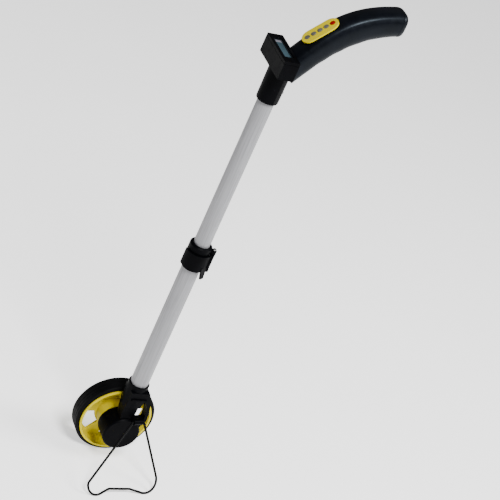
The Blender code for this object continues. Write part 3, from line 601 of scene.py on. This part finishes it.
def build_end_cap():
    """The rounded end of the grip, with the spigot that closes the shells."""
    middle, half = grip_section(1.0)
    bm = bmesh.new()
    around = 2 * (GRIP_AROUND - 1)
    rows = []
    for out, scale in END_CAP_MM:
        row = []
        for step in range(around):
            angle = math.radians(90 - 360 * step / around)
            place = middle + half * squared(math.sin(angle)) * scale
            across = squared(math.cos(angle)) * GRIP_HALF_WIDTH * scale
            row.append(bm.verts.new((place.x + out * MM, across, place.y)))
        rows.append(row)
    for first, second in zip(rows, rows[1:]):
        for index in range(around):
            after = (index + 1) % around
            bm.faces.new((first[index], second[index], second[after], first[after]))
    bm.faces.new(rows[0])
    bm.faces.new(rows[-1][::-1])
    piece("grip_end", mesh_from(bm, "grip_end"), "grip_plastic", "handle", POLE,
          ["grip_end_cap"], "black_plastic", 50)


# ---- buttons ------------------------------------------------------------
FLANGE_LEDGE_MM = 0.9                # from the flange's edge to the key's side
FLANGE_HEIGHT_MM = 1.7
# millimetres in from the key's side and down from its top: edge, raised ring, dome
KEY_TOP_MM = [(0.0, 0.9), (0.25, 0.4), (0.7, 0.15), (1.1, 0.35), (1.5, 0.30), (2.4, 0.08)]


def build_button(node, look):
    """A domed rubber key with a raised ring, on its press axis."""
    press = Vector(JOINTS[f"{node}_press"]["axis"]).normalized()
    axis_up = -press
    sideways = NEAR.cross(axis_up).normalized()
    turn = Matrix((sideways, axis_up.cross(sideways), axis_up)).transposed().to_4x4()
    points = [turn.inverted() @ vert.co for vert in NODES[node].data.vertices]
    centre = sum(points, Vector()) / len(points)
    low = min(point.z for point in points)
    place = turn @ Matrix.Translation(Vector((centre.x, centre.y, low)))
    height = (max(point.z for point in points) - low) / MM
    flange = max((point - centre).xy.length for point in points) / MM
    key = flange - FLANGE_LEDGE_MM
    profile = [(AXIS_MM, 0), (flange, 0), (flange, FLANGE_HEIGHT_MM), (key, FLANGE_HEIGHT_MM)]
    profile += [(key - inward, height - down) for inward, down in KEY_TOP_MM]
    profile.append((AXIS_MM, height))
    turned(f"{node}_key", profile, look, node, place, [node], look, 40, 50)


# ---- assembly -----------------------------------------------------------
def give(nodes, look):
    """A look for CAD nodes that are shown as they are."""
    for node in nodes:
        for slot in NODES[node].material_slots:
            slot.material = MATERIALS[look]


def build_object():
    build_tyre()
    refined("wheel", "wheel", "yellow_plastic", 0.5 * MM)
    refined("hub_cap", "wheel", "black_plastic", 0.6 * MM)
    refined("bracket", "pole", "black_plastic", 0.7 * MM)
    refined("sensor_cover", "pole", "black_plastic", 0.3 * MM)
    build_stand()
    build_tube("lower_tube", "pole", LOWER_TUBE_MM, "lower_pole_tube")
    build_tube("upper_tube", "handle", UPPER_TUBE_MM, "upper_pole_tube")
    refined("clamp_collar", "pole", "black_plastic", 0.4 * MM)
    refined("clamp_lever", "lever", "black_plastic", 0.5 * MM)
    refined("head_housing", "handle", "black_plastic", 0.9 * MM)
    refined("display_bezel", "handle", "black_plastic", 0.5 * MM)
    refined("lcd_panel", "handle", "lcd_glass", 0.15 * MM)
    refined("button_pad", "handle", "yellow_pad", 0.5 * MM)
    build_grip_half(-1, "grip_half_near", "grip_shell_near")
    build_grip_half(1, "grip_half_far", "grip_shell_far")
    build_end_cap()
    for index in range(4):
        build_button(f"button_{index + 1}", "grey_rubber")
    build_button("power_button", "red_rubber")
    give(["wheel_bearing_near", "wheel_bearing_far", "axle", "axle_washer", "axle_nut",
          "bracket_bolt", "lever_pin", "sleeve_screw", "grip_screw_1", "grip_screw_2",
          "grip_screw_3"], "zinc_steel")
    give(["encoder_ring"], "magnet_ferrite")
    give(["guide_bush"], "bush_acetal")
    give(["sensor_board", "main_board", "button_board"], "circuit_board")
    give(["sensor_chip"], "black_plastic")
    give(["battery_1", "battery_2"], "battery_sleeve")
    give(["display_window"], "clear_window")


# ---- floor, light and camera --------------------------------------------
# the camera is given along the pole's axes, its place in tread radii from the wheel's centre
CAMERA_PLACE = Vector((-18.014, -30.8336, 26.4109))
CAMERA_FORWARD = Vector((0.4647, 0.7309, -0.4999))
CAMERA_UP = Vector((-0.1151, 0.6096, 0.7843))
LENS_MM, SENSOR_MM = 129.6, 36
CAMERA_END = 60
FLOOR_SIZE = 14
FLOOR_GREYS = (0.90, 0.90, 0.90), (0.92, 0.92, 0.92)
FLOOR_GLOW = 0.9
WORLD_STRENGTH = 0.18
WHITE = (1.0, 1.0, 1.0, 1)
# place, target, size and power
LIGHTS = {"key": ((-0.25, -1.45, 2.5), (0, 0, 0.5), 0.9, 130),
          "right": ((1.9, -0.9, 2.2), (0, 0, 0.3), 1.2, 85)}


def build_floor():
    bm = bmesh.new()
    bmesh.ops.create_grid(bm, x_segments=8, y_segments=8, size=FLOOR_SIZE)
    floor = bpy.data.objects.new("floor", mesh_from(bm, "floor"))
    bpy.context.scene.collection.objects.link(floor)
    look = Look("floor_paint", 0.85)
    look.drive("Base Color", look.ramp(look.noise(3, 2), *FLOOR_GREYS))
    look.shader.inputs["Emission Color"].default_value = WHITE
    look.shader.inputs["Emission Strength"].default_value = FLOOR_GLOW
    floor.data.materials.append(look.material)


def area_light(name, place, target, size, power):
    light = bpy.data.lights.new(name, "AREA")
    light.shape = "DISK"
    light.size = size
    light.energy = power
    obj = bpy.data.objects.new(name, light)
    obj.location = place
    obj.rotation_euler = (Vector(target) - Vector(place)).to_track_quat("-Z", "Y").to_euler()
    bpy.context.scene.collection.objects.link(obj)


def build_studio():
    world = bpy.data.worlds.new("studio")
    bpy.context.scene.world = world
    world.use_nodes = True
    background = world.node_tree.nodes["Background"]
    background.inputs["Color"].default_value = WHITE
    background.inputs["Strength"].default_value = WORLD_STRENGTH
    for name, values in LIGHTS.items():
        area_light(name, *values)


def build_camera():
    data = bpy.data.cameras.new("view")
    data.sensor_width = SENSOR_MM
    data.lens = LENS_MM
    data.clip_end = CAMERA_END
    camera = bpy.data.objects.new("view", data)
    bpy.context.scene.collection.objects.link(camera)
    forward = (TURN @ CAMERA_FORWARD).normalized()
    up = TURN @ CAMERA_UP
    right = forward.cross(up).normalized()
    up = right.cross(forward)
    turn = Matrix((right, up, -forward)).transposed().to_4x4()
    place = WHEEL_CENTRE + TURN @ (CAMERA_PLACE * TREAD_RADIUS)
    camera.matrix_world = Matrix.Translation(place) @ turn
    bpy.context.scene.camera = camera


make_materials()
build_object()
build_floor()
build_studio()
build_camera()
